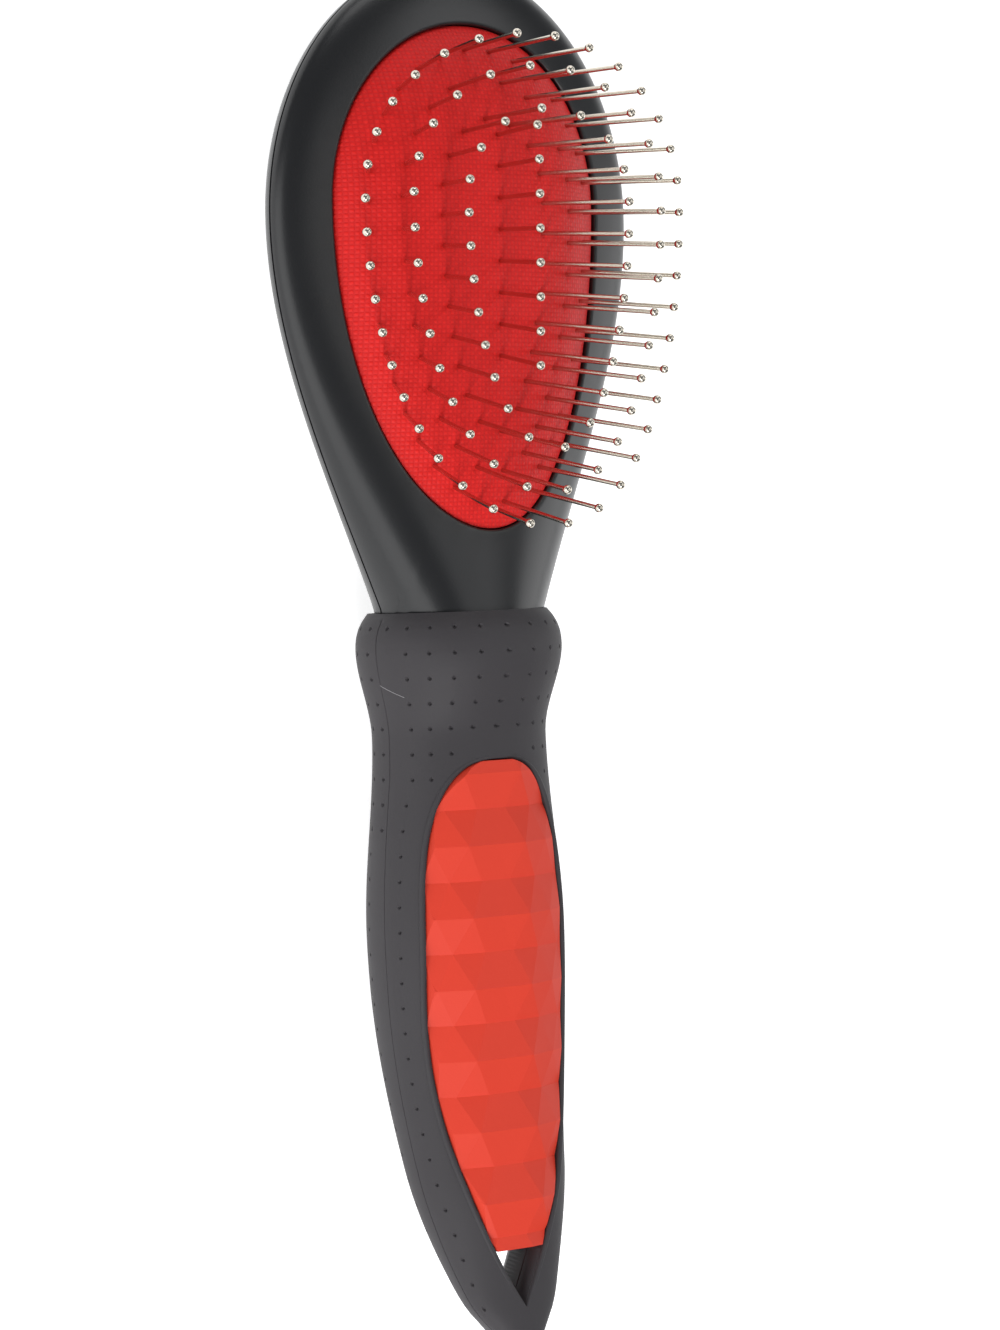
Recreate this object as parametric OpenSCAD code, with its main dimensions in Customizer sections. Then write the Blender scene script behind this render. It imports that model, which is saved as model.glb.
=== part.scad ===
// Pin brush for dogs: a domed cushion with ball-tipped pins in a two-part
// plastic body, and a soft grip with a faceted insert and a hanging loop.
// Lengths are millimetres. Y runs along the brush with the head at +Y,
// and the pins point to +Z.

/* [Head] */
// Length from the end of the grip to the top of the head
head_l = 107.2; // [95:0.2:120]
// Width of the head
head_w = 70; // [62:1:78]
// Distance from the end of the grip to the widest line of the head
head_widest_y = 65.2; // [60:0.2:70]
// How fast each side of the head widens at the neck
neck_flare = 0.42; // [0.3:0.02:0.55]
// Height of the front frame above the seam at the widest line
frame_h = 6.9; // [6:0.1:9]
// Depth of the back shell below the seam at the widest line
shell_h = 15.4; // [12:0.1:17]
// Wall of the back shell under the cushion
shell_wall = 2.4; // [1.6:0.1:3.5]
// Forward lean of the head against the grip, in degrees
head_lean = 2.3; // [0:0.1:4]

/* [Neck] */
// Width of the neck where it leaves the grip
neck_w = 29.4; // [25:0.2:31]
// Height of the neck above the seam
neck_front = 13.2; // [11:0.1:14]
// Depth of the neck below the seam
neck_back = 11.7; // [9:0.1:13]
// Length of neck that is seated inside the grip
neck_seat = 4; // [2:0.5:6]

/* [Cushion] */
// Width of the opening for the cushion
opening_w = 51.6; // [46:0.2:54]
// Height of the opening above its widest line
opening_up = 29.5; // [26:0.5:32]
// Height of the opening below its widest line
opening_down = 53.5; // [46:0.5:56]
// Thickness of the cushion's membrane
membrane_t = 1.3; // [1:0.1:2]
// Height of the middle of the dome above the seam
dome_top = 13.2; // [10:0.1:16]
// How far the cushion's edge lies below the edge of the frame
cushion_recess = 0.7; // [0.4:0.1:1.5]
// Width of the cushion's flange under the lip of the frame
flange_w = 2.3; // [1.5:0.1:3]
// Thickness of that flange
flange_t = 1.4; // [1:0.1:2]
// Height of the underside of the lip above the seam
lip_z = 2.9; // [2.4:0.1:3.2]

/* [Pins] */
// Diameter of the pin wire
pin_d = 0.75; // [0.5:0.05:1]
// Diameter of the ball at the tip
ball_d = 1.5; // [1.2:0.1:2]
// Length of a pin from the cushion to the centre of its ball
pin_l = 17; // [13:0.5:20]
// Diameter of the flat head that holds a pin behind the membrane
pin_head_d = 1.9; // [1.5:0.1:2.2]
// Number of pins in the outer ring
outer_pins = 38; // [30:2:40]
// Number of pins in the second ring
second_pins = 30; // [24:2:32]
// Number of pins in the third ring
third_pins = 24; // [16:2:28]
// Number of pins along the middle
middle_pins = 8; // [5:1:9]
// Sideways place of the row along the middle
middle_x = 1; // [-2:0.5:2]
// Outward lean of the pins in the outer ring, in degrees
pin_lean = 33; // [20:0.5:35]
// Outward lean of the pins in the third ring, in degrees
inner_lean = 20; // [10:0.5:24]
// Sideways lean of the pins along the middle, in degrees
middle_lean = -13; // [-15:0.5:15]
// Change of the pins' lean from one end of the cushion to the other, in degrees
spread_lean = 16; // [10:1:20]

/* [Grip] */
// Length of the grip
grip_l = 122.8; // [112:0.2:130]
// Width of the grip across the palm
palm_w = 34.4; // [31:0.2:37]
// Height of the palm above the seam
palm_front = 12.4; // [11:0.1:14]
// Depth of the palm below the seam
palm_back = 14.5; // [13:0.1:16]
// Distance from the end of the grip to the widest line of the palm
palm_y = 70; // [60:1:78]
// Width of the waist behind the collar
waist_w = 30.6; // [28:0.2:33]
// Distance from the end of the grip to the waist
waist_y = 102; // [94:1:104]
// Width of the collar
collar_w = 35.6; // [33:0.2:37]
// Length of the collar, from its widest line to the rim
collar_l = 6; // [4:0.5:8]
// Rise of the collar above the neck at its widest line
collar_rise = 2.4; // [1.6:0.1:3]
// Depth of the collar below the neck at its widest line
collar_drop = 1.8; // [1.2:0.1:2.4]
// Thickness of the collar's lip at the rim, where it rounds in to the neck
rim_lip = 0.6; // [0.5:0.1:1]
// Rise of the end of the grip towards the pins
butt_rise = 12.5; // [6:0.5:15]
// Wall of the soft sleeve round the core
sleeve_wall = 3; // [2.4:0.1:3.6]
// Distance from the end of the grip to the end of the core
core_end = 22; // [20:1:30]

/* [Insert] */
// Width of the window for the insert
window_w = 27.2; // [23:0.2:28]
// Height of the window's top above the end of the grip
window_top = 98.3; // [92:0.1:102]
// Length of insert, from the window's top down
insert_l = 81.2; // [74:0.2:84]
// Thickness of rubber below the hanging hole
loop_t = 7.5; // [6:0.5:10]
// Distance between two ridges of facets
ridge_pitch = 11.8; // [9:0.1:15]
// Height of the high points on a ridge above the palm's surface
ridge_h = 1; // [0.5:0.1:1.2]
// Height of the low points between them
ridge_low_h = 0.4; // [0.1:0.1:0.6]
// Depth of the valleys below the palm's surface
valley_h = 0.6; // [0.2:0.1:1]
// Number of facet columns across the insert
facet_columns = 5; // [4:1:7]
// Sideways place of the facets: where one high point lies from the middle
facet_shift = 4; // [3:0.1:6]

/* [Hidden] */
function numbered(name, count) = [for (i = [1 : count]) str(name, "_", i)];
run = 4;
outer_runs = ceil(outer_pins / run);
second_runs = ceil(second_pins / run);
third_runs = ceil(third_pins / run);
middle_runs = ceil(middle_pins / run);
eps = 0.01;
fit_gap = 0.1;

// Head frame: y from 0 at the seated end of the neck, z = 0 on the seam.
neck_base_y = grip_l - neck_seat;
widest_y = neck_seat + head_widest_y;
tip_y = neck_seat + head_l;
tip_rise = tip_y - widest_y;
front_power = 2.2;
back_power = 0.55;
tip_power = 2.5;
head_stations = 14;
tip_stations = 9;
// Odd numbers leave a narrow flat along the back, on which the brush lies.
arc_steps = 27;
grip_half_steps = 19;
ring_steps = 56;
egg_steps = 72;

function mix(a, b, t) = a + (b - a) * t;
// Cubic between two values with given end slopes over a span
function blend(t, v0, s0, v1, s1, span) =
    (2 * t ^ 3 - 3 * t ^ 2 + 1) * v0 + (t ^ 3 - 2 * t ^ 2 + t) * s0 * span
    + (3 * t ^ 2 - 2 * t ^ 3) * v1 + (t ^ 3 - t ^ 2) * s1 * span;
// Share of the neck-to-widest stretch, held at 0 inside the grip
function neck_share(y) = min(1, max(0, (y - neck_seat) / (widest_y - neck_seat)));
// Rounding of the head's depth and width towards the tip
function tip_share(y) = min(1, max(0, (y - widest_y) / tip_rise));
function tip_depth(y) = (1 - tip_share(y) ^ tip_power) ^ (1 / tip_power);
function head_half(y) = y > widest_y
    ? head_w / 2 * sqrt(1 - tip_share(y) ^ 2)
    : blend(neck_share(y), neck_w / 2, neck_flare, head_w / 2, 0, widest_y - neck_seat);
function frame_depth(y) = tip_depth(y)
    * blend(neck_share(y), neck_front, -0.1, frame_h, 0, widest_y - neck_seat);
function shell_depth(y) = tip_depth(y)
    * blend(neck_share(y), neck_back, 0, shell_h, 0, widest_y - neck_seat);
// Height of the head's two faces above a point
function frame_z(x, y) = frame_depth(y)
    * (1 - min(1, abs(x) / head_half(y)) ^ front_power) ^ (1 / front_power);
function shell_z(x, y) = -shell_depth(y) * (1 - min(1, abs(x) / head_half(y)) ^ 2) ^ back_power;

// Stations along the head, closer together towards the tip
head_ys = concat(
    [0], [for (i = [0 : head_stations - 1]) mix(neck_seat, widest_y, i / head_stations)],
    [for (i = [0 : tip_stations - 1]) widest_y + tip_rise * sin(88 * i / (tip_stations - 1))]);

// Opening and pins are laid out on egg outlines round one centre.
egg_y = widest_y + 2;
function egg_point(grow, a, scale = 1) = [
    (opening_w / 2 + grow) * scale * cos(a),
    egg_y + ((sin(a) > 0 ? opening_up : opening_down) + grow) * scale * sin(a)];
function egg(grow, steps = egg_steps) = [for (i = [0 : steps - 1]) egg_point(grow, 360 * i / steps)];

// Cushion: its edge follows the frame, and its dome rises from there.
pad_gap = 0.25;
pad_power = 3;
function pad_edge_z(a) = let (p = egg_point(0, a)) frame_z(p.x, p.y) - cushion_recess;
function pad_z(a, share) = mix(dome_top, pad_edge_z(a), share ^ pad_power);
// Point as shares of an egg outline's half axes
function egg_shares(x, y, grow) = [x / (opening_w / 2 + grow),
    (y - egg_y) / ((y > egg_y ? opening_up : opening_down) + grow)];
function dome_z(x, y, grow) = let (s = egg_shares(x, y, grow)) pad_z(atan2(s.y, s.x), norm(s));
pad_inner = pad_gap + membrane_t;
function pad_top(x, y) = dome_z(x, y, -pad_gap);
function pad_under(x, y) = dome_z(x, y, -pad_inner) - membrane_t;

// Grip sections: distance from the end, half width, height and depth
collar_y = grip_l - collar_l;
rim_power = 2.3;
grip_table = concat([
    [0, 0.9, 2.4, 5.6],
    [1.2, 3, 3.1, 6.4],
    [10, 9.1, 5, 7.4],
    [30, 0.83 * palm_w / 2, 0.8 * palm_front, 0.71 * palm_back],
    [palm_y, palm_w / 2, palm_front, palm_back],
    [waist_y, waist_w / 2, 0.88 * palm_front, 0.84 * palm_back]],
    [for (s = [0 : 0.25 : 1]) let (out = 1 - s ^ rim_power)
        [mix(collar_y, grip_l, s), mix(neck_w / 2 + rim_lip, collar_w / 2, out),
            neck_front + mix(rim_lip, collar_rise, out), neck_back + mix(rim_lip, collar_drop, out)]]);
grip_ys = concat([0, 0.4, 1.2, 2.6, 4.4, 6.6],
    [for (i = [0 : 23]) mix(10, collar_y, i / 23)],
    [for (s = [0.25, 0.5, 0.7, 0.86, 0.95, 1]) mix(collar_y, grip_l, s)]);
grip_power = 2.2;

function slope(table, i, c) =
    let (last = len(table) - 1,
        before = i > 0 ? (table[i][c] - table[i - 1][c]) / (table[i][0] - table[i - 1][0]) : 0,
        after = i < last ? (table[i + 1][c] - table[i][c]) / (table[i + 1][0] - table[i][0]) : 0)
    i == 0 ? after : i == last ? before
    : before * after <= 0 ? 0 : 2 * before * after / (before + after);
// Value of one column of a table at y, on a smooth curve through its rows
function at(table, y, c) =
    let (i = max([for (k = [0 : len(table) - 2]) if (k == 0 || table[k][0] <= y) k]),
        span = table[i + 1][0] - table[i][0])
    blend(min(1, (y - table[i][0]) / span), table[i][c], slope(table, i, c),
        table[i + 1][c], slope(table, i + 1, c), span);

// The seam is level in the grip, rises to the butt and leans with the head.
bend_y = 60;
function seam(y) = y < bend_y ? butt_rise * ((bend_y - y) / bend_y) ^ 2
    : y > neck_base_y ? (y - neck_base_y) * tan(head_lean) : 0;

// Core of the two body halves inside the grip
core_top = neck_base_y + 2;
core_ys = concat([core_end], [for (i = [1 : 13]) mix(core_end, neck_base_y, i / 13)], [core_top]);
function core_half(y, grow) = min(at(grip_table, y, 1) - sleeve_wall, neck_w / 2 - 1.2) + grow;
function core_front(y, grow) = min(at(grip_table, y, 2) - sleeve_wall - valley_h, neck_front - 1.2) + grow;
function core_back(y, grow) = min(at(grip_table, y, 3) - sleeve_wall, neck_back - 1.2) + grow;

// Window for the insert, and the hanging hole below it
insert_end = window_top - insert_l;
window_mid = mix(loop_t, window_top, 0.6);
top_bend = 3.3;
top_round = 0.38;
end_bend = 2.3;
function window_half(y) = window_w / 2 * (y > window_mid
    ? (1 - min(1, (y - window_mid) / (window_top - window_mid)) ^ top_bend) ^ top_round
    : 1 - min(1, (window_mid - y) / (window_mid - loop_t)) ^ end_bend);
// Stations along the window, closer together at its round top
window_end = 0.3;
window_ys = concat(
    [for (i = [0 : 11]) mix(loop_t + window_end, window_mid, i / 12)],
    [for (i = [0 : 9]) mix(window_mid, window_top - window_end, sin(10 * i))]);

// Closed skin over rings of points, with a point in the middle of each end.
// Each four-sided patch is split along its shorter diagonal.
module skin(rings, base, tip) {
    n = len(rings[0]);
    m = len(rings);
    points = concat([base], [for (r = rings) each r], [tip]);
    function id(i, j) = 1 + i * n + j % n;
    function patch(a, b, c, d) = norm(points[a] - points[c]) <= norm(points[b] - points[d])
        ? [[a, b, c], [a, c, d]] : [[a, b, d], [b, c, d]];
    faces = concat(
        [for (j = [0 : n - 1]) [0, id(0, j + 1), id(0, j)]],
        [for (i = [0 : m - 2], j = [0 : n - 1])
            each patch(id(i, j), id(i, j + 1), id(i + 1, j + 1), id(i + 1, j))],
        [for (j = [0 : n - 1]) [n * m + 1, id(m - 1, j), id(m - 1, j + 1)]]);
    polyhedron(points, faces, convexity = 8);
}

module at_head() {
    translate([0, neck_base_y, 0]) rotate([head_lean, 0, 0]) children();
}

// The brush lies on its back, on the flats of the palm and of the back shell.
function flat_share(steps, power) = cos(90 / steps) ^ power;
grip_lows = [for (y = grip_ys)
    [y, seam(y) - at(grip_table, y, 3) * flat_share(grip_half_steps, 2 / grip_power)]];
head_lows = [for (y = head_ys, low = shell_depth(y) * flat_share(arc_steps, 2 * back_power))
    [neck_base_y + y * cos(head_lean) + low * sin(head_lean), y * sin(head_lean) - low * cos(head_lean)]];
// Slope of the line that touches both from below
rest_slope = max([for (g = grip_lows)
    min([for (h = head_lows) if (h.x > grip_l + eps) (h.y - g.y) / (h.x - g.x)])]);
rest_tilt = -atan(rest_slope);
rest_lift = -min([for (p = concat(grip_lows, head_lows)) p.y * cos(rest_tilt) + p.x * sin(rest_tilt)]);
far_end = [neck_base_y + tip_y * cos(head_lean), tip_y * sin(head_lean)];
middle_y = (far_end.x * cos(rest_tilt) - far_end.y * sin(rest_tilt) - grip_lows[0].y * sin(rest_tilt)) / 2;
module at_rest() {
    translate([0, -middle_y, rest_lift]) rotate([rest_tilt, 0, 0]) children();
}

// Sections. The upper ones close along the seam from left to right.
function arc_angles(from, to, steps) = [for (i = [0 : steps]) mix(from, to, i / steps)];
function signed_power(v, p) = sign(v) * abs(v) ^ p;
function section(w, up, down, y, z, angles) = [for (a = angles)
    [w * signed_power(cos(a), 2 / grip_power), y,
        z + (a > 180 ? down : up) * signed_power(sin(a), 2 / grip_power)]];
function frame_section(y, grow = 0) = [for (a = arc_angles(0, 180, arc_steps))
    [(head_half(y) + grow) * signed_power(cos(a), 2 / front_power), y,
        (frame_depth(y) + grow) * abs(sin(a)) ^ (2 / front_power)]];
function shell_section(y, grow = 0) = [for (a = arc_angles(180, 360, arc_steps))
    [(head_half(y) + grow) * cos(a), y, -(shell_depth(y) + grow) * abs(sin(a)) ^ (2 * back_power)]];
function core_section(y, grow, angles) =
    section(core_half(y, grow), core_front(y, grow), core_back(y, grow), y, seam(y), angles);

module frame_body() {
    skin([for (y = head_ys) frame_section(y)], [0, 0, neck_front / 2], [0, tip_y, 0]);
}
module shell_body() {
    skin([for (y = head_ys) shell_section(y)], [0, 0, -neck_back / 2], [0, tip_y, 0]);
}
module core_half_body(from, to) {
    mid = (from + to) / 2;
    reach = mid > 180 ? -core_back(core_end, 0) / 2 : core_front(core_end, 0) / 2;
    skin([for (y = core_ys) core_section(y, 0, arc_angles(from, to, 12))],
        [0, core_end, seam(core_end) + reach], [0, core_top, seam(core_top) + reach]);
}
// Room that the core takes in the sleeve and under the insert
module core_room() {
    angles = [for (i = [0 : 23]) 15 * i];
    skin([for (y = core_ys) core_section(y == core_end ? y - fit_gap : y, fit_gap, angles)],
        [0, core_end - fit_gap, seam(core_end)], [0, core_top, seam(core_top)]);
}
module neck_room() {
    ys = [-fit_gap, neck_seat, neck_seat + 3];
    ring_at = function (y) concat(
        [for (p = frame_section(max(y, 0), fit_gap)) [p.x, y, p.z]],
        [for (p = shell_section(max(y, 0), fit_gap)) if (p.z < -eps) [p.x, y, p.z]]);
    at_head() skin([for (y = ys) ring_at(y)], [0, ys[0], 0], [0, ys[2], 0]);
}

// Locating pegs of the two halves: x, y in the head, and y in the core
peg_d = 2.4;
peg_l = 3;
function rim_middle(y) = (head_half(y) + (opening_w / 2 + flange_w) * sqrt(1 - ((egg_y - y)
    / (y > egg_y ? opening_up + flange_w : opening_down + flange_w)) ^ 2)) / 2;
head_pegs = concat([[0, neck_seat + 5], [0, (egg_y + opening_up + flange_w + tip_y) / 2]],
    [for (side = [-1, 1], y = [egg_y - 30, egg_y]) [side * rim_middle(y), y]]);
core_pegs = [palm_y - 7, waist_y - 7];
module pegs(grow, length) {
    at_head() for (p = head_pegs) translate([p.x, p.y, -length])
        cylinder(d = peg_d + grow, h = length + 1, $fn = 32);
    for (y = core_pegs) translate([0, y, -length]) cylinder(d = peg_d + grow, h = length + 1, $fn = 32);
}

pocket_gap = 0.15;
module front_frame() {
    color("#26272b") union() {
        at_head() difference() {
            frame_body();
            translate([0, 0, -1]) linear_extrude(neck_front + dome_top) polygon(egg(0));
            translate([0, 0, -1]) linear_extrude(lip_z + 1) polygon(egg(flange_w + pocket_gap));
        }
        core_half_body(0, 180);
        pegs(0, peg_l);
    }
}

// The shell's raised ring clamps the cushion's flange against the frame's lip.
clamp_z = lip_z - flange_t - fit_gap;
bowl_shrink = 0.8;
module back_shell() {
    shares = [0.25, 0.5, 0.75, 0.9, 1];
    floor_z = function (p) shell_z(p.x, p.y) + shell_wall;
    ring_at = function (s) [for (i = [0 : 2 : egg_steps - 1])
        let (p = egg_point(-bowl_shrink, -360 * i / egg_steps, s)) [p.x, p.y, floor_z(p)]];
    rim = [for (p = ring_at(1)) [p.x, p.y, clamp_z + 1]];
    color("#1f2023") difference() {
        union() {
            at_head() shell_body();
            at_head() translate([0, 0, -1]) linear_extrude(clamp_z + 1) polygon(egg(flange_w));
            core_half_body(180, 360);
        }
        at_head() skin(concat([for (s = shares) ring_at(s)], [rim]),
            [0, egg_y, floor_z([0, egg_y])], [0, egg_y, clamp_z + 1]);
        pegs(fit_gap, peg_l + 0.3);
    }
}

// Pins, laid out along egg outlines that lie inside the opening by an inset
outer_inset = 4.3;
second_inset = 9.4;
third_inset = 15.9;
middle_inset = opening_w / 2;
middle_span = [egg_y - 25, egg_y + 11];
path_steps = 240;
lean_start_y = egg_y + 10;
lean_margin = 8;
lean_least = 6;
head_gap = 0.25;
pin_head_t = 0.5;
// Points at equal distances along an egg outline
function along_egg(inset, count, phase) =
    let (pts = [for (i = [0 : path_steps]) egg_point(-inset, 90 - 360 * i / path_steps)],
        sums = [for (i = 0, s = 0; i <= path_steps;
            s = s + (i < path_steps ? norm(pts[i + 1] - pts[i]) : 0), i = i + 1) s])
    [for (k = [0 : count - 1]) [lookup((k + phase) / count * sums[path_steps],
            [for (i = [0 : path_steps]) [sums[i], pts[i].x]]),
        lookup((k + phase) / count * sums[path_steps], [for (i = [0 : path_steps]) [sums[i], pts[i].y]])]];
// Sideways lean follows the dome, and along the brush the pins spread from one line.
function lean_x(p, inset) = inset == middle_inset ? middle_lean
    : let (side = p.x / (opening_w / 2 - inset),
        narrow = mix(1, sqrt(opening_w / 2 / max(lean_least, head_half(p.y) - lean_margin)), 0.5))
    mix(pin_lean, inner_lean, (inset - outer_inset) / (third_inset - outer_inset))
        * sign(side) * min(1, abs(side) * narrow);
function lean_y(p) = spread_lean * (p.y - lean_start_y) / (opening_up + opening_down);
outer_places = along_egg(outer_inset, outer_pins, 0.55);
second_places = along_egg(second_inset, second_pins, 0.65);
third_places = along_egg(third_inset, third_pins, 0.75);
middle_places = [for (k = [0 : middle_pins - 1])
    [middle_x, mix(middle_span[0], middle_span[1], k / (middle_pins - 1))]];

// Point of a pin's own frame, seen in the head: turned about X, about Y, then moved
function from_pin(p, inset, q) =
    let (a = -lean_y(p), b = lean_x(p, inset),
        y = q.y * cos(a) - q.z * sin(a), z = q.y * sin(a) + q.z * cos(a))
    [p.x + q.x * cos(b) + z * sin(b), p.y + y, pad_top(p.x, p.y) + z * cos(b) - q.x * sin(b)];
// The pin's flat head sits where its whole rim is clear of the membrane.
function head_clear(p, inset, depth) = len([for (a = [0 : 45 : 315])
    let (q = from_pin(p, inset, [pin_head_d / 2 * cos(a), pin_head_d / 2 * sin(a), -depth]))
    if (q.z > pad_under(q.x, q.y)) a]) == 0;
function pin_seat(p, inset) = head_gap + min(concat([5 * membrane_t],
    [for (depth = [membrane_t : 0.1 : 4 * membrane_t]) if (head_clear(p, inset, depth)) depth]));
module along_pin(p, inset) {
    translate([p.x, p.y, pad_top(p.x, p.y)]) rotate([-lean_y(p), lean_x(p, inset), 0]) children();
}
module pin(seat) {
    translate([0, 0, -seat]) cylinder(d = pin_d, h = pin_l + seat, $fn = 24);
    translate([0, 0, -seat - pin_head_t]) cylinder(d = pin_head_d, h = pin_head_t, $fn = 24);
    translate([0, 0, pin_l]) sphere(d = ball_d, $fn = 24);
}
module pin_run(places, inset, i) {
    color("#c9c6bd") at_head()
        for (k = [(i - 1) * run : min(i * run, len(places)) - 1])
            along_pin(places[k], inset) pin(pin_seat(places[k], inset));
}

hole_gap = 0.06;
module pin_holes() {
    rows = [[outer_places, outer_inset], [second_places, second_inset],
        [third_places, third_inset], [middle_places, middle_inset]];
    for (row = rows, p = row[0], seat = pin_seat(p, row[1])) along_pin(p, row[1])
        translate([0, 0, -seat]) cylinder(d = pin_d + 2 * hole_gap, h = seat + 2 * membrane_t, $fn = 24);
}
module cushion_pad() {
    shares = [0.2, 0.4, 0.6, 0.76, 0.88, 0.96, 1];
    angles = [for (i = [0 : ring_steps - 1]) 360 * i / ring_steps];
    dome = function (s, grow, drop) [for (a = angles)
        let (p = egg_point(grow, a, s)) [p.x, p.y, pad_z(a, s) - drop]];
    level = function (grow, z) [for (a = angles) let (p = egg_point(grow, a)) [p.x, p.y, z]];
    top_z = lip_z - fit_gap;
    color("#cc2127") at_head() difference() {
        skin(concat([for (s = shares) dome(s, -pad_gap, 0)],
                [level(-pad_gap, top_z), level(flange_w, top_z), level(flange_w, top_z - flange_t + fit_gap),
                    level(-pad_inner, top_z - flange_t + fit_gap)],
                [for (i = [len(shares) - 1 : -1 : 0]) dome(shares[i], -pad_inner, membrane_t)]),
            [0, egg_y, dome_top], [0, egg_y, dome_top - membrane_t]);
        pin_holes();
    }
}

// Soft sleeve: window in front, hanging hole through the end
floor_h = 2;
function cut_ring(y, h, low) = [[h, y, seam(y) + low], [h, y, seam(y) + 40],
    [-h, y, seam(y) + 40], [-h, y, seam(y) + low]];
hole_top = insert_end - 0.8;
module grip_window() {
    from = window_ys[0];
    to = window_ys[len(window_ys) - 1];
    step = [for (y = [hole_top, hole_top + 0.05]) cut_ring(y, window_half(y), y > hole_top ? floor_h : -30)];
    rings = concat([for (y = window_ys) if (y < hole_top) cut_ring(y, window_half(y), -30)], step,
        [for (y = window_ys) if (y > hole_top + 0.05) cut_ring(y, window_half(y), floor_h)]);
    skin(rings, [0, from, seam(from)], [0, to, seam(to) + floor_h + 5]);
}
module grip_sleeve() {
    angles = [for (i = [0 : 2 * grip_half_steps - 1]) 180 * i / grip_half_steps];
    color("#2b2b2e") difference() {
        skin([for (y = grip_ys)
                section(at(grip_table, y, 1), at(grip_table, y, 2), at(grip_table, y, 3), y, seam(y),
                    angles)],
            [0, 0, seam(0)], [0, grip_l, 0]);
        core_room();
        neck_room();
        grip_window();
    }
}

// Insert: a lattice of ridges and valleys, cut to the window's outline
facet_w = window_w / facet_columns;
first_ridge = insert_end - 3.7;
facet_rows = ceil((window_top - first_ridge) / ridge_pitch * 2);
facet_reach = ceil(facet_columns / 2) + 2;
function palm_z(x, y) = seam(y) + at(grip_table, y, 2)
    * (1 - min(0.88, abs(x) / at(grip_table, y, 1)) ^ grip_power) ^ (1 / grip_power);
module facet_slab() {
    row = function (i)
        let (y = first_ridge + i * ridge_pitch / 2,
            valley = i % 2,
            low = seam(y) + floor_h + fit_gap,
            tops = [for (k = [facet_reach : -1 : -facet_reach])
                let (x = facet_shift + (k + valley / 2) * facet_w)
                [x, y, palm_z(x, y) + (valley == 1 ? -valley_h : k % 2 == 0 ? ridge_h : ridge_low_h)]])
        concat([[tops[0].x, y, low]], tops, [[tops[2 * facet_reach].x, y, low]]);
    last = first_ridge + facet_rows * ridge_pitch / 2;
    skin([for (i = [0 : facet_rows]) row(i)],
        [0, first_ridge, seam(first_ridge) + 5], [0, last, seam(last) + 5]);
}
module facet_insert() {
    from = insert_end;
    to = window_ys[len(window_ys) - 1];
    ys = concat([from], [for (y = window_ys) if (y > from + 1) y]);
    color("#e04a35") difference() {
        intersection() {
            facet_slab();
            skin([for (y = ys) cut_ring(min(y, to - fit_gap), window_half(y) - fit_gap, 0)],
                [0, from, seam(from) + 5], [0, to - fit_gap, seam(to) + 5]);
        }
        core_room();
    }
}

at_rest() front_frame();
at_rest() back_shell();
at_rest() cushion_pad();
at_rest() grip_sleeve();
at_rest() facet_insert();
for (i = [1 : outer_runs])
    at_rest() pin_run(outer_places, outer_inset, i);
for (i = [1 : second_runs])
    at_rest() pin_run(second_places, second_inset, i);
for (i = [1 : third_runs])
    at_rest() pin_run(third_places, third_inset, i);
for (i = [1 : middle_runs])
    at_rest() pin_run(middle_places, middle_inset, i);
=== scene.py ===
import math

import bmesh
import bpy
from mathutils import Matrix, Vector


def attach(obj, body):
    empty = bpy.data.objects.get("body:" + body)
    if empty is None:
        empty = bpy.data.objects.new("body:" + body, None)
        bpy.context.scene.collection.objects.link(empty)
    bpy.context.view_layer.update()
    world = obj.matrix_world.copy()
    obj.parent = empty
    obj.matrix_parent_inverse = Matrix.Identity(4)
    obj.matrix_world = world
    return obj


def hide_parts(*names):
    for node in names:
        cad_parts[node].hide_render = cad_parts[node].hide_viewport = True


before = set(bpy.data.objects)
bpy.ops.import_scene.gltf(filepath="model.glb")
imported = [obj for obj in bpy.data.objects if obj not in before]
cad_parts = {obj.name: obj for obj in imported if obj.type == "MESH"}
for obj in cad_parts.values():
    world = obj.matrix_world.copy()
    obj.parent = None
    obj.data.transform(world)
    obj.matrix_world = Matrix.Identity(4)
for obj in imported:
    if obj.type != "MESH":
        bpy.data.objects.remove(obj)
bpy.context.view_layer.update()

# The resting brush
# The brush lies on the palm and on the back of its head. Its pieces are drawn in millimetres, in the grip's
# frame, with y from the end of the grip and z = 0 on the seam, or in the head's frame, which leans forwards.
mm = 0.001
middle_y = 115.029
seam_lift = 15.53
rest_tilt = math.radians(-0.8775)
head_lean = math.radians(2.3)
neck_base_y = 118.8
grip_frame = (Matrix.Scale(mm, 4) @ Matrix.Translation((0, -middle_y, seam_lift))
              @ Matrix.Rotation(rest_tilt, 4, "X"))
head_frame = grip_frame @ Matrix.Translation((0, neck_base_y, 0)) @ Matrix.Rotation(head_lean, 4, "X")


# Front half of the head
# A broad rounded rim of satin black hard plastic round the opening, with the front of the neck. It is moulded
# in one piece and meets the back half in a fine groove along the side.
neck_seat = 4
widest_y = 69.2
tip_y = 111.2
half_w = 35
neck_half = 14.7
neck_flare = 0.42
neck_front = 13.2
neck_front_slope = -0.1
frame_h = 6.9
rim_roundness = 2.2
tip_roundness = 2.5
opening_half = 25.8
opening_up = 29.5
opening_down = 53.5
egg_y = 71.2
lip_z = 2.9
lip_round = 0.55
pocket_grow = 2.45
groove = 0.22
groove_floor = groove * 0.6
groove_depth = 0.6


def blend(t, v0, s0, v1, s1, span):
    """The smooth curve from value v0 to v1 with slopes s0 and s1, at share t of the span."""
    return ((2 * t ** 3 - 3 * t ** 2 + 1) * v0 + (t ** 3 - 2 * t ** 2 + t) * s0 * span
            + (3 * t ** 2 - 2 * t ** 3) * v1 + (t ** 3 - t ** 2) * s1 * span)


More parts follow.
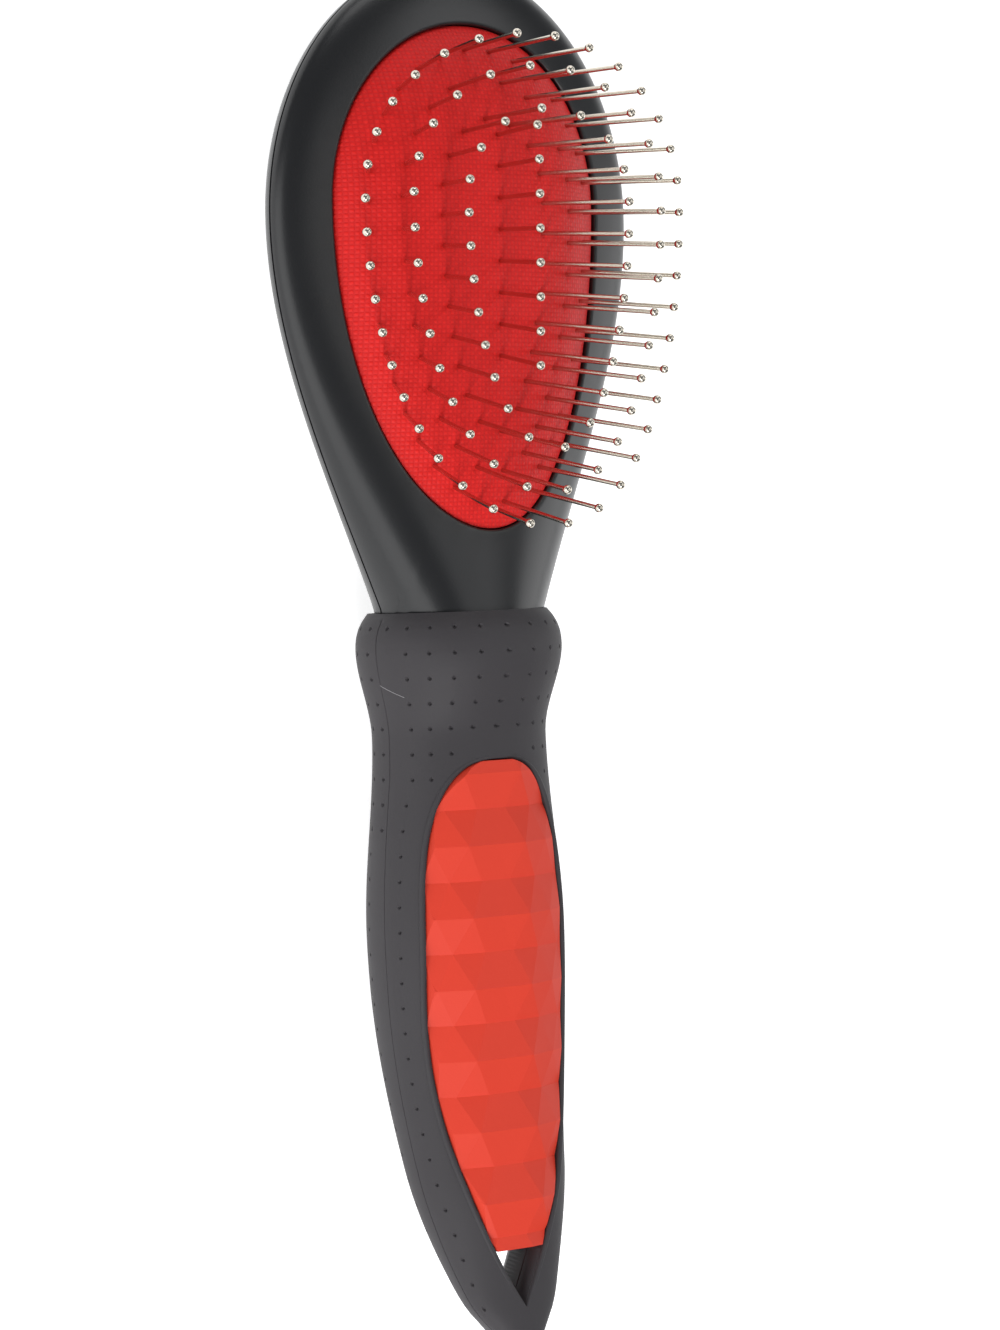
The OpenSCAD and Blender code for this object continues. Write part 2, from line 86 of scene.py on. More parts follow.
def along_head(y, neck_value, neck_slope, wide_value):
    t = min(1, max(0, (y - neck_seat) / (widest_y - neck_seat)))
    return blend(t, neck_value, neck_slope, wide_value, 0, widest_y - neck_seat)


def tip_share(y):
    return min(1, max(0, (y - widest_y) / (tip_y - widest_y)))


def tip_depth(y):
    return (1 - tip_share(y) ** tip_roundness) ** (1 / tip_roundness)


def head_half(y):
    return along_head(y, neck_half, neck_flare, half_w) * math.sqrt(1 - tip_share(y) ** 2)


def across(x, y):
    """How far a point lies from the middle of the head, as a share of its half width."""
    half = head_half(y)
    return min(1, abs(x) / half) if half > 1e-6 else 1


def frame_top(x, y):
    rounding = (1 - across(x, y) ** rim_roundness) ** (1 / rim_roundness)
    return tip_depth(y) * along_head(y, neck_front, neck_front_slope, frame_h) * rounding


def egg_point(grow, angle, share=1):
    """A point of the opening's egg shape, grown by some millimetres, at a share of the way out."""
    reach = opening_up if math.sin(angle) > 0 else opening_down
    return Vector(((opening_half + grow) * share * math.cos(angle),
                   egg_y + (reach + grow) * share * math.sin(angle)))


def outline_point(angle):
    """Where the line from the egg's centre through its edge meets the head's outline."""
    direction = egg_point(0, angle) - Vector((0, egg_y))
    near, far = 1, 4
    for _ in range(40):
        middle = (near + far) / 2
        x, y = Vector((0, egg_y)) + direction * middle
        inside = 0 <= y <= tip_y and abs(x) <= head_half(y)
        near, far = (middle, far) if inside else (near, middle)
    return Vector((0, egg_y)) + direction * near


same_place = 1e-6
sliver = 1e-7


def formed(name, columns, rows, place, own_frame, crease=35):
    """A sheet of columns by rows, wrapped into a closed form: place(i, j) is where each corner goes."""
    bm = bmesh.new()
    bmesh.ops.create_grid(bm, x_segments=columns, y_segments=rows, size=0.5)
    for v in bm.verts:
        v.co = own_frame @ Vector(place(round((v.co.x + 0.5) * columns), round((v.co.y + 0.5) * rows)))
    bmesh.ops.remove_doubles(bm, verts=bm.verts, dist=same_place)
    bmesh.ops.dissolve_degenerate(bm, edges=bm.edges, dist=sliver)
    bmesh.ops.recalc_face_normals(bm, faces=bm.faces)
    return made_object(bm, name, crease)


def made_object(bm, name, crease=35):
    for f in bm.faces:
        f.smooth = True
    for e in bm.edges:
        e.smooth = len(e.link_faces) == 2 and e.calc_face_angle() < math.radians(crease)
    mesh = bpy.data.meshes.new(name)
    bm.to_mesh(mesh)
    bm.free()
    piece = bpy.data.objects.new(name, mesh)
    bpy.context.scene.collection.objects.link(piece)
    return piece


def new_group(name, inputs, outputs):
    group = bpy.data.node_groups.new(name, "ShaderNodeTree")
    for label, value in inputs.items():
        kind = "NodeSocketVector" if value is None else "NodeSocketFloat"
        socket = group.interface.new_socket(label, in_out="INPUT", socket_type=kind)
        if value is not None:
            socket.default_value = value
    for label in outputs:
        group.interface.new_socket(label, in_out="OUTPUT", socket_type="NodeSocketFloat")
    return group, group.nodes.new("NodeGroupInput"), group.nodes.new("NodeGroupOutput")


def noise(tree, vector, scale, detail=3.0):
    node = tree.nodes.new("ShaderNodeTexNoise")
    node.inputs["Detail"].default_value = detail
    tree.links.new(vector, node.inputs["Vector"])
    if isinstance(scale, (int, float)):
        node.inputs["Scale"].default_value = scale
    else:
        tree.links.new(scale, node.inputs["Scale"])
    return node.outputs["Fac"]


def math_node(tree, operation, *values):
    node = tree.nodes.new("ShaderNodeMath")
    node.operation = operation
    for socket, value in zip(node.inputs, values):
        if isinstance(value, (int, float)):
            socket.default_value = value
        else:
            tree.links.new(value, socket)
    return node.outputs[0]


# Moulded skin: a fine even grain, and broad faint patches where hands have polished it
moulded, inlet, outlet = new_group(
    "moulded skin",
    {"Vector": None, "Grain Scale": 2500.0, "Patch Scale": 40.0, "Roughness": 0.4, "Patchiness": 0.1},
    ["Grain", "Roughness"])
fine_grain = noise(moulded, inlet.outputs["Vector"], inlet.outputs["Grain Scale"])
moulded.links.new(fine_grain, outlet.inputs["Grain"])
patches = noise(moulded, inlet.outputs["Vector"], inlet.outputs["Patch Scale"], 4.0)
centred = math_node(moulded, "SUBTRACT", patches, 0.5)
swing = math_node(moulded, "MULTIPLY", centred, inlet.outputs["Patchiness"])
moulded.links.new(math_node(moulded, "ADD", inlet.outputs["Roughness"], swing), outlet.inputs["Roughness"])


def material(name, colour, **shader_values):
    made = bpy.data.materials.new(name)
    made.use_nodes = True
    tree = made.node_tree
    shader = tree.nodes["Principled BSDF"]
    shader.inputs["Base Color"].default_value = (*colour, 1)
    for label, value in shader_values.items():
        shader.inputs[label.replace("_", " ")].default_value = value
    place = tree.nodes.new("ShaderNodeTexCoord").outputs["Object"]
    return made, tree, shader, place


def add_skin(tree, shader, place, roughness, patchiness, grain_scale, patch_scale=40.0):
    skin = tree.nodes.new("ShaderNodeGroup")
    skin.node_tree = moulded
    skin.inputs["Grain Scale"].default_value = grain_scale
    skin.inputs["Patch Scale"].default_value = patch_scale
    skin.inputs["Roughness"].default_value = roughness
    skin.inputs["Patchiness"].default_value = patchiness
    tree.links.new(place, skin.inputs["Vector"])
    tree.links.new(skin.outputs["Roughness"], shader.inputs["Roughness"])
    return skin.outputs["Grain"]


def add_bump(tree, shader, height, distance, strength=1.0):
    bump = tree.nodes.new("ShaderNodeBump")
    bump.inputs["Distance"].default_value = distance
    bump.inputs["Strength"].default_value = strength
    tree.links.new(height, bump.inputs["Height"])
    tree.links.new(bump.outputs["Normal"], shader.inputs["Normal"])


def mix_colour(tree, share, first, second):
    node = tree.nodes.new("ShaderNodeMix")
    node.data_type = "RGBA"
    tree.links.new(share, node.inputs["Factor"])
    for socket, value in ((node.inputs["A"], first), (node.inputs["B"], second)):
        if isinstance(value, tuple):
            socket.default_value = (*value, 1)
        else:
            tree.links.new(value, socket)
    return node.outputs["Result"]


satin_black, tree, shader, place = material("satin black plastic", (0.011, 0.0112, 0.0125),
                                            Specular_IOR_Level=0.5)
grain = add_skin(tree, shader, place, 0.3, 0.12, 3000.0)
add_bump(tree, shader, grain, 0.00002, 0.5)

rim_columns = 288
rounding_rings = 4
top_rings = 60
rim_edge = rounding_rings + top_rings + 1
rim_rows = rim_edge + 4


def rim_corner(i, j):
    """Rows: the opening's wall and its rounded edge, the top out to the groove, then the pocket below."""
    angle = 2 * math.pi * i / rim_columns
    edge = outline_point(angle)
    start = egg_point(lip_round, angle)
    if j in (0, rim_rows):
        return (*egg_point(0, angle), lip_z)
    if j <= rounding_rings:
        turn = math.pi / 2 * (j - 1) / rounding_rings
        p = egg_point(lip_round * (1 - math.cos(turn)), angle)
        return (*p, frame_top(*start) - lip_round * (1 - math.sin(turn)))
    if j < rim_edge:
        share = math.sin(math.pi / 2 * (j - rounding_rings - 1) / (top_rings - 1))
        p = start.lerp(edge, share)
        return (*p, max(frame_top(*p), groove))
    if j == rim_edge:
        return (*edge, groove)
    if j == rim_edge + 1:
        return (*(edge + (start - edge).normalized() * groove_depth), groove_floor)
    return (*egg_point(pocket_grow, angle), groove_floor if j == rim_edge + 2 else lip_z)


rim = formed("head_rim", rim_columns, rim_rows, rim_corner, head_frame)
rim.data.materials.append(satin_black)
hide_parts("front_frame")
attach(rim, "root")


# Back half of the head
# A hollow bowl of the same plastic behind the cushion. Its raised ring clamps the cushion's flange against
# the lip of the front half, and its outside is what the brush lies on.
neck_back = 11.7
shell_h = 15.4
bowl_fullness = 0.55
shell_wall = 2.4
bowl_shrink = -0.8
clamp_z = 1.4
flange_w = 2.3
bowl_rings = 10
back_rings = 34


def shell_bottom(x, y):
    return -tip_depth(y) * along_head(y, neck_back, 0, shell_h) * (1 - across(x, y) ** 2) ** bowl_fullness


def bowl_corner(i, j):
    """Rows: the inside of the bowl, the raised ring, the face towards the front half, then the outside."""
    angle = 2 * math.pi * i / rim_columns
    edge = outline_point(angle)
    if j <= bowl_rings:
        p = egg_point(bowl_shrink, angle, math.sin(math.pi / 2 * j / bowl_rings))
        return (*p, shell_bottom(*p) + shell_wall)
    if j <= bowl_rings + 3:
        p = egg_point(bowl_shrink if j == bowl_rings + 1 else flange_w, angle)
        return (*p, -groove_floor if j == bowl_rings + 3 else clamp_z)
    if j == bowl_rings + 4:
        return (*(edge + (egg_point(0, angle) - edge).normalized() * groove_depth), -groove_floor)
    if j == bowl_rings + 5:
        return (*edge, -groove)
    share = math.cos(math.pi / 2 * (j - bowl_rings - 6) / back_rings)
    p = Vector((0, egg_y)).lerp(edge, share)
    return (*p, min(shell_bottom(*p), -groove))


bowl = formed("head_bowl", rim_columns, bowl_rings + 6 + back_rings, bowl_corner, head_frame)
bowl.data.materials.append(satin_black)
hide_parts("back_shell")
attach(bowl, "root")


# Cushion
# A domed membrane of red rubber with a woven texture, clamped by its flange between the two halves of the
# head. It holds the pins, and dips a little round each of them.
pad_gap = 0.25
membrane_t = 1.3
dome_top = 13.2
dome_flatness = 3
pad_recess = 0.7
flange_top = 2.8
flange_bottom = 1.5
dimple_depth = 0.32
dimple_reach = 0.75
dimple_end = 3
weave_pitch = 0.72
outer_inset = 4.3
second_inset = 9.4
third_inset = 15.9


def dome_z(angle, share):
    edge = frame_top(*egg_point(0, angle)) - pad_recess
    return dome_top + (edge - dome_top) * share ** dome_flatness


def ring_places(inset, count, phase):
    """Evenly spaced places along the egg shape, some millimetres inside its edge."""
    steps = 720
    path = [egg_point(-inset, math.pi / 2 - 2 * math.pi * i / steps) for i in range(steps + 1)]
    sums = [0]
    for a, b in zip(path, path[1:]):
        sums.append(sums[-1] + (b - a).length)
    places = []
    for k in range(count):
        wanted = (k + phase) / count * sums[-1]
        i = next(n for n in range(1, steps + 1) if sums[n] >= wanted)
        places.append(path[i - 1].lerp(path[i], (wanted - sums[i - 1]) / (sums[i] - sums[i - 1])))
    return places


middle_pins = 8
middle_x = 1
middle_from = egg_y - 25
middle_to = egg_y + 11
pin_places = (ring_places(outer_inset, 38, 0.55) + ring_places(second_inset, 30, 0.65)
              + ring_places(third_inset, 24, 0.75)
              + [Vector((middle_x, middle_from + (middle_to - middle_from) * k / (middle_pins - 1)))
                 for k in range(middle_pins)])

cushion_columns = 288
dome_rings = 100
under_rings = 12


def cushion_corner(i, j):
    """Rows: the dome from its middle out, the flange, then the underside back to the middle."""
    angle = 2 * math.pi * i / cushion_columns
    if j <= dome_rings:
        share = j / dome_rings
        p = egg_point(-pad_gap, angle, share)
        dip = sum(math.exp(-((p - q).length / dimple_reach) ** 2)
                  for q in pin_places if max(abs(p.x - q.x), abs(p.y - q.y)) < dimple_end)
        return (*p, dome_z(angle, share) - dimple_depth * min(1, dip))
    if j == dome_rings + 1:
        return (*egg_point(-pad_gap, angle), flange_top)
    if j <= dome_rings + 3:
        return (*egg_point(flange_w, angle), flange_top if j == dome_rings + 2 else flange_bottom)
    if j == dome_rings + 4:
        return (*egg_point(-pad_gap - membrane_t, angle), flange_bottom)
    share = 1 - (j - dome_rings - 5) / under_rings
    return (*egg_point(-pad_gap - membrane_t, angle, share), dome_z(angle, share) - membrane_t)


woven_red, tree, shader, place = material("woven red rubber", (0.76, 0.011, 0.01), Specular_IOR_Level=0.3,
                                          Sheen_Weight=0.08, Sheen_Roughness=0.4)
shader.inputs["Sheen Tint"].default_value = (1, 0.5, 0.5, 1)
split = tree.nodes.new("ShaderNodeSeparateXYZ")
tree.links.new(place, split.inputs[0])
turns = math.pi / (weave_pitch * mm)
warp = math_node(tree, "SINE", math_node(tree, "MULTIPLY", split.outputs["X"], turns))
weft = math_node(tree, "SINE", math_node(tree, "MULTIPLY", split.outputs["Y"], turns))
over = math_node(tree, "MULTIPLY", warp, weft)
threads = math_node(tree, "MULTIPLY", math_node(tree, "ABSOLUTE", warp), math_node(tree, "ABSOLUTE", weft))
weave = math_node(tree, "ADD", math_node(tree, "MULTIPLY", over, 0.35), threads)
grain = add_skin(tree, shader, place, 0.55, 0.1, 2200.0)
add_bump(tree, shader, math_node(tree, "ADD", weave, math_node(tree, "MULTIPLY", grain, 0.2)), 0.00008, 0.8)
# Painted shade and highlight: the red follows the weave's height, darker in the hollows between threads and
# lighter on their raised crossings.
weave_shaded_red = mix_colour(tree, weave, (0.68, 0.008, 0.008), (0.84, 0.014, 0.011))
tree.links.new(weave_shaded_red, shader.inputs["Base Color"])

cushion_rows = dome_rings + 5 + under_rings
cushion = formed("cushion_dome", cushion_columns, cushion_rows, cushion_corner, head_frame, 50)
cushion.data.materials.append(woven_red)
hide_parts("cushion_pad")
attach(cushion, "root")


# Pins
# Bright nickel-plated wire with a ball fused on each tip. Three egg-shaped rings of them stand in the cushion
# and lean outwards with its dome, and a short middle line leans the other way.
bright_nickel, tree, shader, place = material("bright nickel", (0.62, 0.57, 0.49), Metallic=1.0)
grain = add_skin(tree, shader, place, 0.18, 0.08, 4000.0, 900.0)
add_bump(tree, shader, grain, 0.000002, 0.3)
for name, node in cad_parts.items():
    if "_pins_" in name:
        node.data.materials.clear()
        node.data.materials.append(bright_nickel)


# Grip
# A sleeve of soft, matte black rubber moulded round the body's core, with rows of small blind dots, a fine
# parting line down each side, and a pointed end that curls towards the pins and has a hanging hole.
grip_l = 122.8
palm_y = 70
waist_y = 102
collar_l = 6
collar_half = 17.8
collar_rise = 2.4
collar_drop = 1.8
rim_lip = 0.6
rim_power = 2.3
butt_rise = 12.5
grip_roundness = 2.2
bend_y = 60
collar_y = grip_l - collar_l


def collar_row(share):
    out = 1 - share ** rim_power
    return (collar_y + collar_l * share, neck_half + rim_lip + (collar_half - neck_half - rim_lip) * out,
            neck_front + rim_lip + (collar_rise - rim_lip) * out,
            neck_back + rim_lip + (collar_drop - rim_lip) * out)


# Rows of distance from the end, half width, height and depth
grip_rows = [
    (0, 0.9, 2.4, 5.6), (1.2, 3, 3.1, 6.4), (10, 9.1, 5, 7.4), (30, 14.28, 9.92, 10.3),
    (palm_y, 17.2, 12.4, 14.5), (waist_y, 15.3, 10.91, 12.18)]
grip_rows += [collar_row(k / 4) for k in range(5)]


def row_slope(i, c):
    """The slope of one of the sizes at a row, level where it turns."""
    before = after = None
    if i > 0:
        before = (grip_rows[i][c] - grip_rows[i - 1][c]) / (grip_rows[i][0] - grip_rows[i - 1][0])
    if i < len(grip_rows) - 1:
        after = (grip_rows[i + 1][c] - grip_rows[i][c]) / (grip_rows[i + 1][0] - grip_rows[i][0])
    if before is None or after is None:
        return after if before is None else before
    return 2 * before * after / (before + after) if before * after > 0 else 0


def grip_size(y, c):
    i = max(k for k in range(len(grip_rows) - 1) if k == 0 or grip_rows[k][0] <= y)
    span = grip_rows[i + 1][0] - grip_rows[i][0]
    return blend(min(1, (y - grip_rows[i][0]) / span), grip_rows[i][c], row_slope(i, c),
                 grip_rows[i + 1][c], row_slope(i + 1, c), span)


def seam(y):
    """The height of the grip's middle, which curls up towards its end."""
    return butt_rise * ((bend_y - y) / bend_y) ** 2 if y < bend_y else 0


def grip_point(y, angle, push=0):
    c, s = math.cos(angle), math.sin(angle)
    x = grip_size(y, 1) * math.copysign(abs(c) ** (2 / grip_roundness), c)
    z = grip_size(y, 2 if s > 0 else 3) * math.copysign(abs(s) ** (2 / grip_roundness), s)
    inward = Vector((x, z)).normalized() * push
    return Vector((x - inward.x, y, z - inward.y + seam(y)))


def grip_top(x, y, furthest=0.999):
    share = min(furthest, abs(x) / grip_size(y, 1))
    return seam(y) + grip_size(y, 2) * (1 - share ** grip_roundness) ** (1 / grip_roundness)


loop_t = 7.5
window_top = 98.3
window_half_w = 13.6
insert_end = 17.1
hole_top = 16.3
floor_h = 2
window_mid = loop_t + 0.6 * (window_top - loop_t)
window_round = 3.3
window_shoulder = 0.38
window_taper = 2.3


def window_half(y):
    if y > window_mid:
        up = min(1, (y - window_mid) / (window_top - window_mid))
        return window_half_w * (1 - up ** window_round) ** window_shoulder
    return window_half_w * (1 - min(1, (window_mid - y) / (window_mid - loop_t)) ** window_taper)


dot_columns = 24
dot_pitch = 4.17
first_dot = grip_l - 2.4
dot_r = 0.42
dot_depth = 0.5
dot_clear = 1.7
dot_line = 1.5
dot_beside = 1.3
beside_most = 0.37
rim_most = 0.2
parting_most = 0.1
sparse_below = 85
band_turn = math.radians(60)
band_share = 0.75
parting = 0.13
parting_depth = 0.16
tip_drop = 1.6
neck_turn_in = 2
dot_rows = [first_dot - dot_pitch * k for k in range(28) if first_dot - dot_pitch * k > 3]

# Lines along the grip: five for each row of dots, and closer ones round the rim and the tip
y_lines = [0, 0.25, 0.6, 1.1, 1.7, 2.4]
for row_y in reversed(dot_rows):
    y_lines += [row_y - dot_line, row_y - dot_r, row_y, row_y + dot_r, row_y + dot_line]
y_lines = sorted(y for y in y_lines if y < grip_l - 1.9)
y_lines += [grip_l - back for back in (1.6, 1.25, 0.9, 0.6, 0.35, 0.15, 0)]
# Lines round the grip: their angle, their offset from it in millimetres and as the largest share of a column,
# and what lies on them
a_lines = []
column_turn = 2 * math.pi / dot_columns
for column in range(dot_columns):
    turn = column * column_turn
    a_lines += [(turn, -dot_beside, beside_most, "between"), (turn, -dot_r, rim_most, "rim"),
                (turn, 0, 0, "dot"), (turn, dot_r, rim_most, "rim"),
                (turn, dot_beside, beside_most, "between")]
    if column in (0, dot_columns // 2 - 1):
        turn += column_turn / 2
        a_lines += [(turn, -parting, parting_most, "edge"), (turn, 0, 0, "parting"),
                    (turn, parting, parting_most, "edge")]


def spread(y, angle):
    """On the front, the columns part round the window, and one of them keeps to the band beside it."""
    if math.sin(angle) <= 0:
        return angle
    half = grip_size(y, 1)
    edge = window_half(y) if loop_t < y < window_top else 0
    band = max(band_turn, math.asin(((edge + band_share * (half - edge)) / half) ** (grip_roundness / 2)))
    turn = angle - math.pi / 2
    if abs(turn) <= band_turn:
        return math.pi / 2 + turn * band / band_turn
    past = (abs(turn) - band_turn) / (math.pi / 2 - band_turn)
    return math.pi / 2 + math.copysign(band + past * (math.pi / 2 - band), turn)


def is_dot(y, angle):
    """Whether this row has a dot in this column: fewer beside the window, and none over it or the hole."""
    column = round(angle / column_turn)
    if y not in dot_rows:
        return False
    x = abs(grip_point(y, spread(y, angle)).x)
    if column in (0, dot_columns // 2):
        return y > sparse_below
    if column > dot_columns // 2:
        return y > hole_top + 1 or x > window_half(y) + dot_clear
    from_middle = abs(column - dot_columns // 4)
    if y > window_top + dot_line:
        return from_middle < 5 or y == first_dot
    if y > sparse_below:
        return from_middle in (2, 3, 4) and x > window_half(y) + dot_clear
    return from_middle == 4 if y > 6 else from_middle in (1, 3)


def grip_corner(i, j):
    """Rows: the closed tip, the lines along the grip, then the collar's end, turned in and closed."""
    if j == 0:
        return (0, 0, seam(0) - tip_drop)
    if j == len(y_lines) + 3:
        return (0, grip_l - neck_turn_in, 0)
    angle, offset, most, kind = a_lines[i % len(a_lines)]
    if j > len(y_lines):
        inner = grip_l if j == len(y_lines) + 1 else grip_l - neck_turn_in
        top = Vector((neck_half * math.cos(angle), neck_front * math.sin(angle)))
        return (top.x, inner, top.y * (1 if top.y > 0 else neck_back / neck_front))
    y = y_lines[j - 1]
    radius = (grip_size(y, 1) + grip_size(y, 2 if math.sin(angle) > 0 else 3)) / 2
    aside = math.copysign(min(abs(offset) / radius, most * column_turn), offset)
    near = min(dot_rows, key=lambda r: abs(r - y))
    away = y - near
    if abs(away) < dot_r + 0.01 and kind in ("rim", "dot") and is_dot(near, angle):
        round_off = math.sqrt(0.5) if kind == "rim" and y != near else 1
        push = dot_depth if kind == "dot" and y == near else 0
        return grip_point(near + away * round_off, spread(near, angle) + aside * round_off, push)
    push = parting_depth if kind == "parting" and y < grip_l - 1 else 0
    return grip_point(y, spread(y, angle + aside), push)


grip = formed("grip_skin", len(a_lines), len(y_lines) + 3, grip_corner, grip_frame, 32)


def window_rows(start, stop, count=64, crowding=1.6):
    """Places along the window, closer together at its two ends."""
    low = [start + (window_mid - start) * (k / count) ** crowding for k in range(count)]
    high = [window_mid + (stop - window_mid) * math.sin(math.pi / 2 * k / count) for k in range(count + 1)]
    return low + high


def cut(piece, cutter, operation):
    """The piece less the cutter, or only what lies inside it."""
    change = piece.modifiers.new("cut", "BOOLEAN")
    change.operation = operation
    change.solver = "EXACT"
    change.object = cutter
    bpy.context.view_layer.update()
    shaped = bpy.data.meshes.new_from_object(piece.evaluated_get(bpy.context.evaluated_depsgraph_get()))
    piece.modifiers.clear()
    piece.data = shaped
    bpy.data.objects.remove(cutter)


# The hole's wall has a parting groove at half its depth, and opens towards the back below.
above = 40
below = -30
wall_depth = 9.2
wall_flare = 0.95
wall_groove = 0.15
window_from = loop_t + 0.05
window_to = window_top - 0.02
window_ys = sorted(window_rows(window_from, window_to) + [hole_top, hole_top + 0.02])


def window_corner(i, j):
    """Twelve corners round the cut: down to the floor behind the insert, and right through at the hole."""
    if j == 0:
        return (0, window_from, grip_top(0, window_from) - wall_depth)
    if j > len(window_ys):
        return (0, window_top, seam(window_top) + floor_h + 5)
    y = window_ys[j - 1]
    half = window_half(y)
    if y > hole_top:
        low = seam(y) + floor_h
        side = [(half, low + step) for step in (0, 1, 2, 3, 4, above)]
    else:
        top = grip_top(half, y)
        middle = top - wall_depth / 2
        out = min(wall_groove, half / 2)
        side = [(half, below), (half, top - wall_depth),
                (half, middle - out), (half + out, middle), (half, middle + out), (half, seam(y) + above)]
    x, z = side[i % 12] if i % 12 < 6 else side[11 - i % 12]
    return (x if i % 12 < 6 else -x, y, z)


cut(grip, formed("window_cutter", 12, len(window_ys) + 1, window_corner, grip_frame), "DIFFERENCE")

hole_mid = 13
hole_overlap = 0.06
low_end_share = 0.2
hole_ys = [window_from + (hole_top - window_from) * k / 24 for k in range(25)]
hole_path = [(1, y) for y in hole_ys] + [(-1, y) for y in reversed(hole_ys)]


def opening_corner(i, j):
    """The cone that opens the back of the hole, along its sides and its upper end."""
    if j in (0, 3):
        return (0, hole_mid, below if j == 3 else grip_top(0, hole_mid) - wall_depth)
    side, y = hole_path[i % len(hole_path)]
    half = window_half(y)
    start = grip_top(half, y) - wall_depth
    z = start + hole_overlap if j == 1 else below
    out = (start - z) * wall_flare
    share = (y - window_from) / (hole_top - window_from)
    return (side * (half + out * (half / window_half(hole_top)) ** low_end_share), y + out * share, z)


cut(grip, formed("hole_opening", len(hole_path), 3, opening_corner, grip_frame), "DIFFERENCE")

grip_black = (0.05, 0.046, 0.05)
soft_black, tree, shader, place = material("soft black rubber", grip_black, Specular_IOR_Level=0.3)
grain = add_skin(tree, shader, place, 0.6, 0.12, 2600.0, 60.0)
add_bump(tree, shader, grain, 0.00003, 0.6)

# A short pale scratch lies across the left of the collar.
scratch_from = grip_frame @ Vector((-16.83, 111, 2.07))
scratch_to = grip_frame @ Vector((-14.87, 109, 6.27))
scratch_w = 0.09 * mm
scratch_depth = 2 * mm


def within(direction, low, high):
    """One where a point's distance from the scratch's start, along the direction, is between two values."""
    along = tree.nodes.new("ShaderNodeVectorMath")
    along.operation = "DOT_PRODUCT"
    tree.links.new(from_start.outputs["Vector"], along.inputs[0])
    along.inputs[1].default_value = direction.normalized()
    return math_node(tree, "MULTIPLY", math_node(tree, "GREATER_THAN", along.outputs["Value"], low),
                     math_node(tree, "LESS_THAN", along.outputs["Value"], high))


from_start = tree.nodes.new("ShaderNodeVectorMath")
from_start.operation = "SUBTRACT"
tree.links.new(place, from_start.inputs[0])
from_start.inputs[1].default_value = scratch_from
line = scratch_to - scratch_from
outwards = Vector((-1, 0, 0.4))
scratched = math_node(tree, "MULTIPLY", within(line, 0, line.length), math_node(
    tree, "MULTIPLY", within(line.cross(outwards), -scratch_w / 2, scratch_w / 2),
    within(outwards, -scratch_depth, scratch_depth)))
scratched_black = mix_colour(tree, scratched, grip_black, (0.3, 0.29, 0.3))
tree.links.new(scratched_black, shader.inputs["Base Color"])

grip.data.materials.clear()
grip.data.materials.append(soft_black)
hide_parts("grip_sleeve")
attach(grip, "root")


# Rounded lip of the window
# The rubber of the grip turns down into the window over a small radius. The lip goes all round the insert
# and the hanging hole, half sunk in the grip.
lip_r = 0.5
lip_out = 0.75
lip_sink = 0.95
lip_steps = 200
lip_sides = 12
lip_probe = 0.002


def window_edge(t):
    """A point of the window's edge: up the right side from its low end, over the top and down the left."""
    side = 1 if t < 0.5 else -1
    share = 2 * t if t < 0.5 else 2 - 2 * t
    y = window_from + (window_to - window_from) * (1 - math.cos(math.pi * share)) / 2
    x = side * window_half(y)
    return Vector((x, y, grip_top(x, y)))


def lip_corner(i, j):
    t = (j % lip_steps) / lip_steps
    p = window_edge(t)
    ahead = window_edge((t + lip_probe) % 1) - window_edge((t - lip_probe) % 1)
    out = ahead.cross(Vector((0, 0, 1))).normalized()
    turn = 2 * math.pi * i / lip_sides
    centre = p + out * lip_r * lip_out - Vector((0, 0, lip_r * lip_sink))
    return centre + (out * math.cos(turn) + Vector((0, 0, 1)) * math.sin(turn)) * lip_r


lip = formed("window_lip", lip_sides, lip_steps, lip_corner, grip_frame, 60)
lip.data.materials.append(soft_black)
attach(lip, "root")


# Insert
# Softer orange-red rubber in the window, moulded as a lattice of ridges and valleys whose triangular facets
# catch the light. A fine gap parts it from the sleeve, and its edge is chamfered where the ridges stand high.
ridge_pitch = 11.8
ridge_h = 1
ridge_low_h = 0.4
valley_h = 0.6
facet_w = 2 * window_half_w / 5
facet_shift = 4
facet_rows = 15
facet_reach = 5
facet_edge = 0.88
first_ridge = insert_end - 3.7
insert_gap = 0.3
chamfer_start = 0.5
chamfer_w = 0.7
chamfer_rise = 1.3


def facet_corner(i, j):
    """A corner of the lattice: high and low ridges in turn, and valleys that lie half a facet across."""
    if j in (0, facet_rows + 2):
        y = first_ridge + (0 if j == 0 else facet_rows) * ridge_pitch / 2
        return (0, y, seam(y) + 5)
    y = first_ridge + (j - 1) * ridge_pitch / 2
    valley = (j - 1) % 2
    k = min(facet_reach, max(-facet_reach, i % (2 * facet_reach + 3) - facet_reach - 1))
    x = facet_shift + (k + valley / 2) * facet_w
    if i % (2 * facet_reach + 3) in (0, 2 * facet_reach + 2):
        return (x, y, seam(y) + floor_h)
    rise = -valley_h if valley else ridge_h if k % 2 == 0 else ridge_low_h
    return (x, y, grip_top(x, y, facet_edge) + rise)


insert_ys = [y for y in window_rows(window_from, window_top - insert_gap) if y > insert_end + insert_gap]
insert_ys = [insert_end] + insert_ys


def insert_side(i, j):
    y = insert_ys[min(max(j - 1, 0), len(insert_ys) - 1)]
    half = window_half(y) - insert_gap
    edge = grip_top(half, y)
    if j in (0, len(insert_ys) + 1):
        return (0, y, seam(y) + 5)
    side = 1 if i % 8 < 4 else -1
    step = i % 8 if i % 8 < 4 else 7 - i % 8
    return [(side * half, y, seam(y)), (side * half, y, edge - chamfer_start),
            (side * (half - chamfer_w), y, edge + chamfer_rise),
            (side * (half - chamfer_w), y, seam(y) + above)][step]


